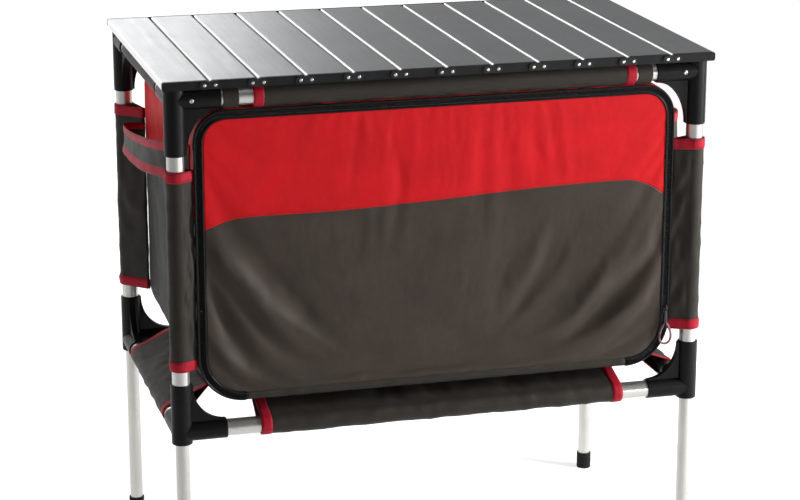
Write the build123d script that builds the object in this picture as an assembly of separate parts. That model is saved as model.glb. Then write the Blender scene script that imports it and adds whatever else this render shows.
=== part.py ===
"""Folding camp kitchen table: roll-up slat top, tube frame with corner
brackets, telescoping legs and a hanging fabric organiser with a zipped door.

Frame: millimetres, +Z up, origin on the floor under the middle of the table,
+X to the right along the long side, the zipped door faces -Y.
"""

from build123d import *
from math import atan2, cos, degrees, hypot, pi
import os

# ---------------------------------------------------------------- dimensions
# Table top
slat_count = 12
slat_pitch = 68.0
slat_gap = 2.9
slat_thickness = 12.5
slat_length = 482.0
slat_wall = 1.3
slat_corner = 3.0
slat_rib_count = 2
cap_flange = 5.5
cap_tongue = 12.0
cap_clearance = 0.15
table_height = 815.0

# Links that join two slats at each end
link_pin_offset = 7.75
link_margin = 0.75
link_overhang = 6.75
link_thickness = 2.0
link_gap = 0.2
rivet_shank_radius = 1.8
rivet_running_clearance = 0.05
rivet_depth = 4.0
rivet_head_radius = 2.5
rivet_head_height = 1.2

# Tube frame
post_inset_x = 21.0
post_inset_y = 17.0
tube_diameter = 25.0
tube_wall = 1.2
lower_rail_height = 298.5

# Corner brackets
socket_wall = 2.4
arm_wall = 2.1
socket_clearance = 0.15
arm_reach = 65.0
arm_roof = 2.25
arm_floor = 3.25
socket_floor = 4.35
top_sleeve_height = 96.5
top_sleeve_roof = 4.0
low_sleeve_height = 90.0
low_sleeve_lip = 5.5
web_thickness = 9.0
web_tip = 2.5
bracket_rim = 1.5

# Telescoping legs
leg_play = 1.3
leg_wall = 1.2
leg_inside_post = 180.0
leg_lip_clearance = 0.3
guide_height = 20.0
guide_clearance = 0.05
foot_wall = 2.0
foot_height = 27.0
foot_base = 4.0

# Organiser bag
bag_left_gap = 25.0
bag_right_gap = 35.0
bag_front_reach = 4.0
bag_back_inset = 39.0
bag_floor_gap = 27.0
bag_head_gap = 3.0
bag_wall = 3.0
zip_width = 12.0
zip_corner_top = 46.0
zip_corner_low = 68.0
zip_thickness = 3.0
door_gap = 0.5
door_thickness = 3.0

# Zip slider and its pull
slider_width = 7.0
slider_height = 13.0
slider_plate = 2.5
slider_height_on_zip = 84.0
slider_clearance = 0.3
tab_length = 26.0
loop_length = 32.0
loop_width = 10.0
loop_lap = 2.0
pull_thickness = 1.6
pull_pin_radius = 1.0
pull_pin_clearance = 0.1

# Fabric sleeves on the tubes, with the webs that carry the bag
sleeve_wall = 1.9
sleeve_clearance = 0.1
fabric_thickness = 2.0
post_sleeve_low_gap = 21.5
post_sleeve_high_gap = 22.0
long_sleeve_gap = 42.0
short_sleeve_gap = 14.0
low_web_inset = 90.0
strap_head_gap = 12.0
strap_width = 58.0
strap_thickness = 2.0
strap_turn_inset = 112.0
strap_seam_inset = 24.0

# ------------------------------------------------------------ derived values
slat_width = slat_pitch - slat_gap
slat_bottom = table_height - slat_thickness
slat_mid = table_height - slat_thickness / 2
cap_face = slat_length / 2 + cap_flange
link_end_radius = slat_thickness / 2 - link_margin
tube_radius = tube_diameter / 2
tube_bore = tube_radius - tube_wall
post_x = slat_count * slat_pitch / 2 - post_inset_x
post_y = slat_length / 2 - post_inset_y
socket_bore = tube_radius + socket_clearance
socket_radius = socket_bore + socket_wall
socket_stop = socket_bore + socket_floor
arm_radius = socket_bore + arm_wall
top_rail_z = slat_bottom - arm_roof - arm_radius
top_sleeve_low = slat_bottom - top_sleeve_height
low_sleeve_bottom = lower_rail_height - arm_radius - arm_floor
low_sleeve_top = low_sleeve_bottom + low_sleeve_height
post_low = low_sleeve_bottom + low_sleeve_lip
post_high = slat_bottom - top_sleeve_roof
leg_radius = tube_bore - leg_play
sleeve_bore = tube_radius + sleeve_clearance
sleeve_radius = sleeve_bore + sleeve_wall
post_sleeve_low = low_sleeve_top + post_sleeve_low_gap
post_sleeve_high = top_sleeve_low - post_sleeve_high_gap
long_sleeve_half = post_x - arm_reach - long_sleeve_gap
short_sleeve_half = post_y - arm_reach - short_sleeve_gap
bag_left = bag_left_gap - post_x
bag_right = post_x - bag_right_gap
bag_front = -post_y - bag_front_reach
bag_back = post_y - bag_back_inset
bag_bottom = lower_rail_height + sleeve_radius + bag_floor_gap
bag_top = top_rail_z - sleeve_radius - bag_head_gap
strap_high = top_sleeve_low - strap_head_gap
strap_low = strap_high - strap_width
pull_bore = pull_pin_radius + pull_pin_clearance
pull_eye_radius = pull_bore + pull_thickness / 2
ear_depth = 2 * pull_eye_radius + 2 * pull_pin_clearance
sides = {"front": -1, "rear": 1}
hands = {"left": -1, "right": 1}


def slat_centre(number):
    """X of the middle of slat 1, 2, ... from the left."""
    return (number - 0.5 - slat_count / 2) * slat_pitch


def cylinder_between(start, end, radius):
    """Straight round bar from one point to another."""
    a = Vector(*start)
    b = Vector(*end)
    plane = Plane(origin=a, z_dir=b - a)
    return extrude(plane * Circle(radius), amount=(b - a).length)


def tube_between(start, end, outer, inner):
    """Straight round tube from one point to another."""
    return cylinder_between(start, end, outer) - cylinder_between(start, end, inner)


def block(x_range, y_range, z_range):
    """Box from its three ranges."""
    size = [high - low for low, high in (x_range, y_range, z_range)]
    middle = [(high + low) / 2 for low, high in (x_range, y_range, z_range)]
    return Pos(*middle) * Box(*size)


# ------------------------------------------------------------------ table top
def slat_cavities(shrink):
    """Cross-sections of the hollow chambers of a slat, on its own centre."""
    chambers = slat_rib_count + 1
    inside = slat_width - 2 * slat_wall
    width = (inside - slat_rib_count * slat_wall) / chambers
    height = slat_thickness - 2 * slat_wall
    faces = []
    for index in range(chambers):
        x = -inside / 2 + width / 2 + index * (width + slat_wall)
        size = (width - 2 * shrink, height - 2 * shrink)
        faces.append(Pos(x, 0) * RectangleRounded(*size, slat_corner - slat_wall))
    return faces


def lengthwise(face, y_start, length):
    """Extrude a slat cross-section along +Y."""
    plane = Plane(origin=(0, y_start, slat_mid), x_dir=(1, 0, 0), z_dir=(0, 1, 0))
    return extrude(plane * face, amount=length)


def make_slat(number):
    """Hollow aluminium slat with inner ribs."""
    outline = RectangleRounded(slat_width, slat_thickness, slat_corner)
    slat = lengthwise(outline, -slat_length / 2, slat_length)
    for chamber in slat_cavities(0):
        slat -= lengthwise(chamber, -slat_length / 2, slat_length)
    return Pos(slat_centre(number), 0, 0) * slat


def end_bar(x, side, y_inner, y_outer, radius):
    """Round bar along Y at one end of the top."""
    return cylinder_between((x, side * y_inner, slat_mid), (x, side * y_outer, slat_mid), radius)


def make_end_cap(number, side):
    """Plastic cap with tongues in the slat's chambers and its pin holes."""
    outline = RectangleRounded(slat_width, slat_thickness, slat_corner)
    start = slat_length / 2 if side > 0 else -cap_face
    cap = lengthwise(outline, start, cap_flange)
    tongue_start = slat_length / 2 - cap_tongue if side > 0 else -slat_length / 2
    for chamber in slat_cavities(cap_clearance):
        cap += lengthwise(chamber, tongue_start, cap_tongue)
    pin_x = slat_pitch / 2 - link_pin_offset
    hole = rivet_shank_radius + rivet_running_clearance
    if number > 1:
        cap -= end_bar(-pin_x, side, cap_face - rivet_depth, cap_face, hole)
    if number < slat_count:
        cap -= end_bar(pin_x, side, cap_face - rivet_depth, cap_face, rivet_shank_radius)
    return Pos(slat_centre(number), 0, 0) * cap


def make_link(number, side):
    """Link plate over the joint to the right of a slat."""
    joint_x = slat_centre(number) + slat_pitch / 2
    half = link_pin_offset + link_overhang - link_end_radius
    near = cap_face + link_gap
    bar = SlotCenterToCenter(2 * half, 2 * link_end_radius)
    plane = Plane(origin=(joint_x, side * near, slat_mid), x_dir=(1, 0, 0), z_dir=(0, side, 0))
    link = extrude(plane * bar, amount=link_thickness)
    for pin in (-link_pin_offset, link_pin_offset):
        link -= end_bar(joint_x + pin, side, near, near + link_thickness, rivet_shank_radius)
    return link


def make_rivet(x, side):
    """Rivet with a low domed head, through the link and into a cap."""
    near = cap_face - rivet_depth
    far = cap_face + link_gap + link_thickness
    shank = end_bar(x, side, near, far, rivet_shank_radius)
    head = end_bar(x, side, far, far + rivet_head_height, rivet_head_radius)
    rim = head.edges().sort_by(Axis.Y)[-1 if side > 0 else 0]
    return shank + fillet(rim, rivet_head_height * 0.8)


def make_end_set(number):
    """Caps of one slat with the links and rivets that it carries."""
    pieces = []
    for side in sides.values():
        pieces.append(make_end_cap(number, side))
        if number < slat_count:
            joint_x = slat_centre(number) + slat_pitch / 2
            pieces.append(make_link(number, side))
            pieces.append(make_rivet(joint_x - link_pin_offset, side))
            pieces.append(make_rivet(joint_x + link_pin_offset, side))
    return Compound(children=pieces)


# ------------------------------------------------------------------ the frame
def gusset(toward, z_root, z_far):
    """Curved web plate in the corner between the sleeve and an arm.

    A flat plate whose outer corner is hollowed by a quarter of an ellipse.
    """
    near = socket_bore + socket_wall / 2
    run = arm_reach - bracket_rim - near
    rise = abs(z_far - z_root)
    plane = Plane(origin=(0, 0, 0), x_dir=toward, z_dir=(toward[1], -toward[0], 0))
    plate = Pos(near + run / 2, (z_root + z_far) / 2) * Rectangle(run, rise)
    hollow = Pos(near + run, z_far) * Ellipse(run - web_tip, rise - web_tip)
    return extrude(plane * (plate - hollow), amount=web_thickness / 2, both=True)


def bracket_body(arm_z, sleeve_low, sleeve_high, web_to):
    """Solid corner fitting on its own axis, with arms towards +X and +Y."""
    body = cylinder_between((0, 0, sleeve_low), (0, 0, sleeve_high), socket_radius)
    body = fillet(body.edges().filter_by(GeomType.CIRCLE), bracket_rim)
    web_root = arm_z + (socket_bore if web_to > arm_z else -socket_bore)
    for toward in ((1, 0, 0), (0, 1, 0)):
        end = (toward[0] * arm_reach, toward[1] * arm_reach, arm_z)
        arm = cylinder_between((0, 0, arm_z), end, arm_radius)
        outer_rim = arm.edges().filter_by(GeomType.CIRCLE).sort_by_distance(end)[0]
        body += fillet(outer_rim, bracket_rim / 2)
        body += gusset(toward, web_root, web_to)
    for toward in ((1, 0), (0, 1)):
        start = (toward[0] * socket_stop, toward[1] * socket_stop, arm_z)
        end = (toward[0] * arm_reach, toward[1] * arm_reach, arm_z)
        body -= cylinder_between(start, end, socket_bore)
    return body


def at_corner(body, hand, side):
    """Place a fitting made for the front left corner at another corner."""
    if hand > 0 and side > 0:
        body = Rot(0, 0, 180) * body
    elif hand > 0:
        body = mirror(body, about=Plane.YZ)
    elif side > 0:
        body = mirror(body, about=Plane.XZ)
    return Pos(hand * post_x, side * post_y, 0) * body


def make_top_bracket():
    """Upper corner fitting, closed on top to carry the slats."""
    web_end = top_sleeve_low + bracket_rim
    body = bracket_body(top_rail_z, top_sleeve_low, slat_bottom, web_end)
    return body - cylinder_between((0, 0, top_sleeve_low), (0, 0, post_high), socket_bore)


def make_low_bracket():
    """Lower corner fitting, open below for the leg."""
    web_end = low_sleeve_top - bracket_rim
    body = bracket_body(lower_rail_height, low_sleeve_bottom, low_sleeve_top, web_end)
    body -= cylinder_between((0, 0, post_low), (0, 0, low_sleeve_top), socket_bore)
    leg_hole = leg_radius + leg_lip_clearance
    return body - cylinder_between((0, 0, low_sleeve_bottom), (0, 0, post_low), leg_hole)


def make_post(hand, side):
    """Upright tube between the two brackets of one corner."""
    foot = (hand * post_x, side * post_y, post_low)
    head = (hand * post_x, side * post_y, post_high)
    return tube_between(foot, head, tube_radius, tube_bore)


def make_long_rail(side, z):
    """Rail along X, seated against the stops of its two sockets."""
    reach = post_x - socket_stop
    return tube_between((-reach, side * post_y, z), (reach, side * post_y, z), tube_radius, tube_bore)


def make_short_rail(hand, z):
    """Rail along Y, seated against the stops of its two sockets."""
    reach = post_y - socket_stop
    return tube_between((hand * post_x, -reach, z), (hand * post_x, reach, z), tube_radius, tube_bore)


# ------------------------------------------------------------------- the legs
def make_leg(hand, side):
    """Leg tube that slides inside the post."""
    foot = (hand * post_x, side * post_y, foot_base)
    head = (hand * post_x, side * post_y, post_low + leg_inside_post)
    return tube_between(foot, head, leg_radius, leg_radius - leg_wall)


def make_foot(hand, side):
    """Push-on foot with a rounded sole."""
    x = hand * post_x
    y = side * post_y
    foot = cylinder_between((x, y, 0), (x, y, foot_height), leg_radius + foot_wall)
    rims = foot.edges().filter_by(GeomType.CIRCLE).sort_by(Axis.Z)
    foot = fillet(rims[0], bracket_rim)
    return foot - cylinder_between((x, y, foot_base), (x, y, foot_height), leg_radius)


def make_guides():
    """Guide bush in the bottom of each post, around the leg."""
    guides = []
    for side in sides.values():
        for hand in hands.values():
            foot = (hand * post_x, side * post_y, post_low)
            head = (hand * post_x, side * post_y, post_low + guide_height)
            outer = tube_bore - guide_clearance
            guides.append(tube_between(foot, head, outer, leg_radius + guide_clearance))
    return Compound(children=guides)


# -------------------------------------------------------------- the organiser
def bag_edge(hand):
    """X of the bag's left or right side."""
    return bag_left if hand < 0 else bag_right


def zip_outline(inset):
    """Rounded outline of the zip line in the XZ plane, inset from its edge."""
    left = bag_left + inset
    right = bag_right - inset
    low = bag_bottom + inset
    high = bag_top - inset
    top_r = zip_corner_top - inset
    low_r = zip_corner_low - inset
    step = 1 - cos(pi / 4)
    edges = []
    for hand, x in ((-1, left), (1, right)):
        edges.append(Line((x, low + low_r), (x, high - top_r)))
        edges.append(ThreePointArc(
            (x, high - top_r),
            (x - hand * top_r * step, high - top_r * step),
            (x - hand * top_r, high),
        ))
        edges.append(ThreePointArc(
            (x, low + low_r),
            (x - hand * low_r * step, low + low_r * step),
            (x - hand * low_r, low),
        ))
    edges.append(Line((left + top_r, high), (right - top_r, high)))
    edges.append(Line((left + low_r, low), (right - low_r, low)))
    return make_face(edges)


def front_plate(face, y_front, thickness):
    """Extrude an XZ face backwards from a front plane."""
    plane = Plane(origin=(0, y_front, 0), x_dir=(1, 0, 0), z_dir=(0, -1, 0))
    return extrude(plane * face, amount=-thickness)


def cut_ring(ring):
    """A rounded ring around Y cut into its four sides and four corners."""
    low_r = zip_corner_low
    top_r = zip_corner_top
    y_range = (2 * bag_front, 2 * bag_back)
    x_mid = (bag_left + low_r, bag_right - low_r)
    z_mid = (bag_bottom + low_r, bag_top - top_r)
    x_cuts = [(bag_left, x_mid[0]), x_mid, (x_mid[1], bag_right)]
    z_cuts = [(bag_bottom, z_mid[0]), z_mid, (z_mid[1], bag_top)]
    pieces = []
    for column, x_range in enumerate(x_cuts):
        for row, z_range in enumerate(z_cuts):
            if (column, row) != (1, 1):
                pieces.append(ring & block(x_range, y_range, z_range))
    return pieces


def make_bag():
    """Bag: a rounded band of side panels, the back and the rim of the door."""
    depth = bag_back - bag_front
    band = front_plate(zip_outline(0) - zip_outline(bag_wall), bag_front, depth)
    back = front_plate(zip_outline(bag_wall), bag_back - bag_wall, bag_wall)
    rim = front_plate(zip_outline(bag_wall) - zip_outline(zip_width), bag_front, bag_wall)
    return Compound(children=[back, *cut_ring(band), *cut_ring(rim)])


def make_door():
    """Door panel inside the zip line, hinged along its lower edge."""
    face = zip_outline(zip_width + door_gap)
    return front_plate(face, bag_front - door_gap - door_thickness, door_thickness)


def make_zip():
    """Zip tape and chain on the bag's rim, open along the hinge line."""
    ring = front_plate(zip_outline(0) - zip_outline(zip_width), bag_front - zip_thickness, zip_thickness)
    hinge_line = (bag_left + zip_corner_low, bag_right - zip_corner_low)
    gap = block(hinge_line, (2 * bag_front, 0), (0, bag_bottom + zip_width))
    return ring - gap


def slider_place():
    """X, back face Y and middle Z of the slider."""
    x = bag_right - zip_width / 2
    y = bag_front - zip_thickness - slider_clearance
    return x, y, bag_bottom + slider_height_on_zip


def pin_ends(half):
    """Ends of the slider's cross pin, or of the pull's eye around it."""
    x, y, z = slider_place()
    pin_y = y - slider_plate - ear_depth / 2
    pin_z = z + slider_height / 6 + ear_depth / 2
    return (x - half, pin_y, pin_z), (x + half, pin_y, pin_z)


def make_slider():
    """Slider body with two ears and a pin for its pull."""
    x, y, z = slider_place()
    body = block(
        (x - slider_width / 2, x + slider_width / 2),
        (y - slider_plate, y),
        (z - slider_height / 2, z + slider_height / 2),
    )
    body = fillet(body.edges().filter_by(Axis.Y), slider_width / 4)
    ear_low = z + slider_height / 6
    y_range = (y - slider_plate - ear_depth, y - slider_plate)
    for hand in (-1, 1):
        inner = x + hand * slider_width / 3
        outer = x + hand * slider_width / 2
        x_range = (min(inner, outer), max(inner, outer))
        body += block(x_range, y_range, (ear_low, ear_low + ear_depth))
    return body + cylinder_between(*pin_ends(slider_width / 2), pull_pin_radius)


def make_pull():
    """Pull that hangs from the slider's pin: a metal tab and a finger loop."""
    half = slider_width / 3 - pull_pin_clearance
    ends = pin_ends(half)
    (x_low, pin_y, pin_z), (x_high, _, _) = ends
    y_range = (pin_y - pull_thickness / 2, pin_y + pull_thickness / 2)
    tab = block((x_low, x_high), y_range, (pin_z - tab_length, pin_z))
    x = (x_low + x_high) / 2
    loop_z = pin_z - tab_length - loop_length / 2 + loop_lap
    loop = block(
        (x - loop_width / 2, x + loop_width / 2),
        y_range,
        (loop_z - loop_length / 2, loop_z + loop_length / 2),
    )
    loop = fillet(loop.edges().filter_by(Axis.Y), loop_width * 0.45)
    eye = cylinder_between(*ends, pull_eye_radius)
    return eye + tab + loop - cylinder_between(*ends, pull_bore)


# --------------------------------------------------- sleeves, webs and straps
def web_plate(start, end, run, run_range):
    """Flat fabric web between two parallel lines.

    start and end are (u, v) in the plane across the run. For a run along X
    they are (y, z), along Y they are (x, z) and along Z they are (x, y).
    """
    (u0, v0), (u1, v1) = start, end
    length = hypot(u1 - u0, v1 - v0)
    angle = degrees(atan2(v1 - v0, u1 - u0))
    low, high = run_range
    panel = Rot(0, 0, angle) * Rectangle(length, fabric_thickness)
    face = Pos((u0 + u1) / 2, (v0 + v1) / 2) * panel
    planes = {
        "x": Plane(origin=(low, 0, 0), x_dir=(0, 1, 0), z_dir=(1, 0, 0)),
        "y": Plane(origin=(0, high, 0), x_dir=(1, 0, 0), z_dir=(0, -1, 0)),
        "z": Plane(origin=(0, 0, low), x_dir=(1, 0, 0), z_dir=(0, 0, 1)),
    }
    return extrude(planes[run] * face, amount=high - low)


def toward_point(centre, target, radius):
    """Point on a circle round the centre, on the side of the target."""
    (u0, v0), (u1, v1) = centre, target
    length = hypot(u1 - u0, v1 - v0)
    return u0 + (u1 - u0) * radius / length, v0 + (v1 - v0) * radius / length


def make_post_sleeve(hand, side):
    """Sleeve on an upright with the web to the corner of the bag."""
    x = hand * post_x
    y = side * post_y
    run = (post_sleeve_low, post_sleeve_high)
    sleeve = tube_between((x, y, run[0]), (x, y, run[1]), sleeve_radius, sleeve_bore)
    bag_y = bag_front + bag_wall if side < 0 else bag_back - bag_wall
    target = (bag_edge(hand) + hand * fabric_thickness / 2, bag_y)
    root = toward_point((x, y), target, sleeve_bore + sleeve_wall / 2)
    return sleeve + web_plate(root, target, "z", run)


def make_long_sleeve(side, rail_z, bag_z):
    """Sleeve on a rail along X with the web to the bag."""
    half = long_sleeve_half
    y = side * post_y
    sleeve = tube_between((-half, y, rail_z), (half, y, rail_z), sleeve_radius, sleeve_bore)
    above = bag_z > rail_z
    inset = low_web_inset if above else bag_wall
    bag_y = bag_front + inset if side < 0 else bag_back - inset
    target = (bag_y, bag_z + (-fabric_thickness if above else fabric_thickness))
    root = toward_point((y, rail_z), target, sleeve_bore + sleeve_wall / 2)
    return sleeve + web_plate(root, target, "x", (-half, half))


def make_short_sleeve(hand, rail_z, bag_z):
    """Sleeve on a rail along Y with the web to the bag."""
    half = short_sleeve_half
    x = hand * post_x
    sleeve = tube_between((x, -half, rail_z), (x, half, rail_z), sleeve_radius, sleeve_bore)
    above = bag_z > rail_z
    inset = low_web_inset / 3 if above else bag_wall
    target = (bag_edge(hand) - hand * inset, bag_z + (-fabric_thickness if above else fabric_thickness))
    root = toward_point((x, rail_z), target, sleeve_bore + sleeve_wall / 2)
    return sleeve + web_plate(root, target, "y", (-half, half))


def make_sleeves():
    """All fabric sleeves: four on the posts and eight on the rails."""
    pieces = []
    for side in sides.values():
        for hand in hands.values():
            pieces.append(make_post_sleeve(hand, side))
        pieces.append(make_long_sleeve(side, top_rail_z, bag_top))
        pieces.append(make_long_sleeve(side, lower_rail_height, bag_bottom))
    for hand in hands.values():
        pieces.append(make_short_sleeve(hand, top_rail_z, bag_top))
        pieces.append(make_short_sleeve(hand, lower_rail_height, bag_bottom))
    return Compound(children=pieces)


def make_straps():
    """Holder strap on each side, from outside the rear post to the bag's front."""
    outside = post_x + sleeve_radius + strap_thickness / 2
    pieces = []
    for hand in hands.values():
        seam = (hand * bag_edge(hand) + strap_thickness, bag_front + strap_seam_inset)
        middle = [(outside, post_y), (outside, strap_turn_inset - post_y), seam]
        path = Polyline(*[(hand * x, y) for x, y in middle])
        band = trace(path, strap_thickness)
        pieces.append(extrude(Pos(0, 0, strap_low) * band, amount=strap_high - strap_low))
    return Compound(children=pieces)


# -------------------------------------------------------------------- all nodes
def build_nodes():
    """Every node of the table by name."""
    nodes = {}
    for number in range(1, slat_count + 1):
        nodes[f"slat_{number:02d}"] = make_slat(number)
        nodes[f"end_set_{number:02d}"] = make_end_set(number)
    top_bracket = make_top_bracket()
    low_bracket = make_low_bracket()
    for side_name, side in sides.items():
        for hand_name, hand in hands.items():
            corner = f"{side_name}_{hand_name}"
            nodes[f"top_bracket_{corner}"] = at_corner(top_bracket, hand, side)
            nodes[f"lower_bracket_{corner}"] = at_corner(low_bracket, hand, side)
            nodes[f"post_{corner}"] = make_post(hand, side)
            nodes[f"leg_{corner}"] = make_leg(hand, side)
            nodes[f"foot_{corner}"] = make_foot(hand, side)
        nodes[f"top_rail_{side_name}"] = make_long_rail(side, top_rail_z)
        nodes[f"lower_rail_{side_name}"] = make_long_rail(side, lower_rail_height)
    for hand_name, hand in hands.items():
        nodes[f"top_rail_{hand_name}"] = make_short_rail(hand, top_rail_z)
        nodes[f"lower_rail_{hand_name}"] = make_short_rail(hand, lower_rail_height)
    nodes["leg_guides"] = make_guides()
    nodes["organiser_bag"] = make_bag()
    nodes["organiser_door"] = make_door()
    nodes["door_zip"] = make_zip()
    nodes["zip_slider"] = make_slider()
    nodes["zip_pull"] = make_pull()
    nodes["tube_sleeves"] = make_sleeves()
    nodes["side_straps"] = make_straps()
    return nodes


os.makedirs("parts", exist_ok=True)
for name, solid in build_nodes().items():
    export_step(solid, f"parts/{name}.step")
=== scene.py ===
"""Looks of the folding camp kitchen table, built around its CAD frame.

Metres, +Z up, +X to the right along the front, the zipped door faces -Y.
"""

from math import cos, pi, radians, sin

import bpy
import numpy as np
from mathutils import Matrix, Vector


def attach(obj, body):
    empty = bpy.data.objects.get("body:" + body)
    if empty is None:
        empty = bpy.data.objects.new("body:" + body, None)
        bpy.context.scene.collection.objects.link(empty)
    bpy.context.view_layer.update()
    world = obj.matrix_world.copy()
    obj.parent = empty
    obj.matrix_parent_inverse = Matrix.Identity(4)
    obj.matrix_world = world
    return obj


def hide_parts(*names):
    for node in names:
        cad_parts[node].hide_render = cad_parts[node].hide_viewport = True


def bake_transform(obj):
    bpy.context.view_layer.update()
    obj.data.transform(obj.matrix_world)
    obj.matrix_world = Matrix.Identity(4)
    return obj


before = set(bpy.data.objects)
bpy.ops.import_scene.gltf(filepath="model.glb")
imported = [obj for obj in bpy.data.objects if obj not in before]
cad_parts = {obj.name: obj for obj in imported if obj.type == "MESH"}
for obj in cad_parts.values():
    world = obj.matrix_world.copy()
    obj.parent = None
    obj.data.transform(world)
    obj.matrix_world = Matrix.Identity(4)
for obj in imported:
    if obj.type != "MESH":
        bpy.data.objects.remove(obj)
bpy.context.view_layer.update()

# ---- dimensions
POST_X = 0.387
POST_Y = 0.224
TOP_RAIL_Z = 0.7855
LOW_RAIL_Z = 0.2985
SLAT_PITCH = 0.068
SLAT_MID_Z = 0.80875
PIN_OFFSET = 0.00775
BAG_HALF = 0.362
BAG_RIGHT = 0.352
BAG_FRONT = -0.228
BAG_BACK = 0.185
BAG_LOW = 0.340
BAG_HIGH = 0.768
CORNER_HIGH = 0.046
CORNER_LOW = 0.068
DOOR_INSET = 0.0125
DOOR_Y = -0.2302
SEAM_Z = 0.613
SLEEVE_R = 0.0141
TIGHT_SLEEVE_R = 0.0130
BINDING = 0.0145
BACK_ROUND = 0.012
BAG_CLOTH = 0.0014
DOOR_CLOTH = 0.0012
STRAP_CLOTH = 0.0012
SLEEVE_CLOTH = 0.0009
TIGHT_BINDING_CLOTH = 0.0006
HINGE_CLOTH = 0.0008
ZIP_CLOTH = 0.0007
SIDES = {"front": -1, "rear": 1}
HANDS = {"left": -1, "right": 1}


# ---- shaders
class Shader:
    """Short-hand for building one node material."""

    def __init__(self, name):
        self.material = bpy.data.materials.new(name)
        self.material.use_nodes = True
        self.tree = self.material.node_tree
        self.surface = self.tree.nodes["Principled BSDF"]

    def node(self, kind, **options):
        """Add a shader node with its options set."""
        node = self.tree.nodes.new("ShaderNode" + kind)
        for key, value in options.items():
            setattr(node, key, value)
        return node

    def plug(self, node, name, value):
        """Put a number, a colour or another node's output in a socket."""
        socket = node.inputs[name]
        if isinstance(value, bpy.types.NodeSocket):
            self.tree.links.new(value, socket)
        else:
            socket.default_value = value
        return node

    def math(self, operation, a, b=0.0):
        """Arithmetic on sockets or numbers."""
        node = self.node("Math", operation=operation)
        self.plug(node, 0, a)
        self.plug(node, 1, b)
        return node.outputs[0]

    def times(self, a, b):
        """Product of sockets or numbers."""
        return self.math("MULTIPLY", a, b)

    def size(self, a):
        """A socket's number without its sign."""
        return self.math("ABSOLUTE", a)

    def wave(self, value, pitch):
        """Sine wave with a pitch in metres."""
        return self.math("SINE", self.times(value, 2 * pi / pitch))

    def noise(self, vector, scale, detail=3.0, rough=0.55, stretch=(1, 1, 1)):
        """Noise value at a vector, which may be stretched."""
        mapping = self.node("Mapping")
        self.plug(mapping, "Vector", vector)
        self.plug(mapping, "Scale", stretch)
        noise = self.node("TexNoise")
        given = {"Vector": mapping.outputs[0], "Scale": scale, "Detail": detail, "Roughness": rough}
        for name, value in given.items():
            self.plug(noise, name, value)
        return noise.outputs["Fac"]

    def range(self, value, low, high, to_low=0.0, to_high=1.0, smooth=False):
        """Map a value from one range to another, clamped."""
        node = self.node("MapRange", interpolation_type="SMOOTHSTEP" if smooth else "LINEAR")
        for index, number in enumerate((value, low, high, to_low, to_high)):
            self.plug(node, index, number)
        return node.outputs[0]

    def mix(self, factor, a, b):
        """Blend two colours."""
        node = self.node("Mix", data_type="RGBA")
        for index, value in ((0, factor), (6, a), (7, b)):
            self.plug(node, index, value)
        return node.outputs[2]

    def bump(self, height, strength, distance=0.001, after=None):
        """Bump from a height, on top of another bump if one is given."""
        node = self.node("Bump")
        self.plug(node, "Height", height)
        self.plug(node, "Strength", strength)
        self.plug(node, "Distance", distance)
        if after is not None:
            self.plug(node, "Normal", after)
        return node.outputs[0]

    def coordinates(self, name):
        """One output of the Texture Coordinate node."""
        return self.node("TexCoord").outputs[name]

    def split(self, vector):
        """The three numbers of a vector."""
        node = self.node("SeparateXYZ")
        self.plug(node, 0, vector)
        return node.outputs

    def finish(self, **values):
        """Set the surface and return the material."""
        for name, value in values.items():
            self.plug(self.surface, name.replace("_", " "), value)
        return self.material


def rgb(*screen):
    """Linear colour from 0-255 screen values."""
    linear = [((c / 255 + 0.055) / 1.055) ** 2.4 if c > 10 else c / 3294 for c in screen]
    return (*linear, 1.0)


def shade(colour, factor, lift=0.0):
    """Colour made darker or lighter, at most white."""
    return tuple(min(1.0, c * factor + lift) for c in colour[:3]) + (1.0,)


def metal(name, colour, roughness, along, lines, edge=None):
    """Satin aluminium with fine drawing lines along one axis, and small scuffs; given edge, the side faces
    are painted near white: partly bare cut metal, partly a painted highlight.
    """
    s = Shader(name)
    at = s.coordinates("Object")
    stretch = [900.0, 900.0, 900.0]
    stretch[along] = 6.0
    grain = s.noise(at, 1.0, 3.0, 0.6, tuple(stretch))
    cloudy = s.noise(at, 9.0, 3.0)
    scuffs = s.noise(at, 60.0, 6.0, 0.75, (1.0, 0.25, 1.0))
    tone = s.mix(s.range(cloudy, 0.3, 0.7), colour, shade(colour, 0.9))
    tone = s.mix(s.range(grain, 0.35, 0.65, 0.0, 0.35), tone, shade(colour, 0.8))
    tone = s.mix(s.range(scuffs, 0.62, 0.75, 0.0, 0.3), tone, rgb(235, 235, 235))
    # painted highlight: faces whose normal points along X are painted towards the edge colour, partly bare
    # cut aluminium
    if edge is not None:
        x = s.size(s.split(s.coordinates("Normal"))[0])
        tone = s.mix(s.range(x, 0.45, 0.9), tone, edge)
    rough = s.range(s.math("ADD", grain, scuffs), 0.6, 1.4, roughness - 0.06, roughness + 0.08)
    normal = s.bump(grain, lines, 0.0002)
    return s.finish(Base_Color=tone, Metallic=0.9, Roughness=rough, Normal=normal)


def plastic(name, colour, roughness, grain=0.25):
    """Moulded plastic with a fine spark-eroded grain and rubbed spots."""
    s = Shader(name)
    at = s.coordinates("Object")
    fine = s.noise(at, 1400.0, 2.0)
    rubbed = s.noise(at, 35.0, 4.0, 0.7)
    tone = s.mix(s.range(rubbed, 0.45, 0.8, 0.0, 0.5), colour, shade(colour, 1.9, 0.004))
    rough = s.range(rubbed, 0.3, 0.75, roughness + 0.07, roughness - 0.07)
    soft = s.bump(rubbed, 0.12, 0.0015)
    normal = s.bump(fine, grain, 0.0002, soft)
    return s.finish(Base_Color=tone, Roughness=rough, Normal=normal, Specular_IOR_Level=0.16)


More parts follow.
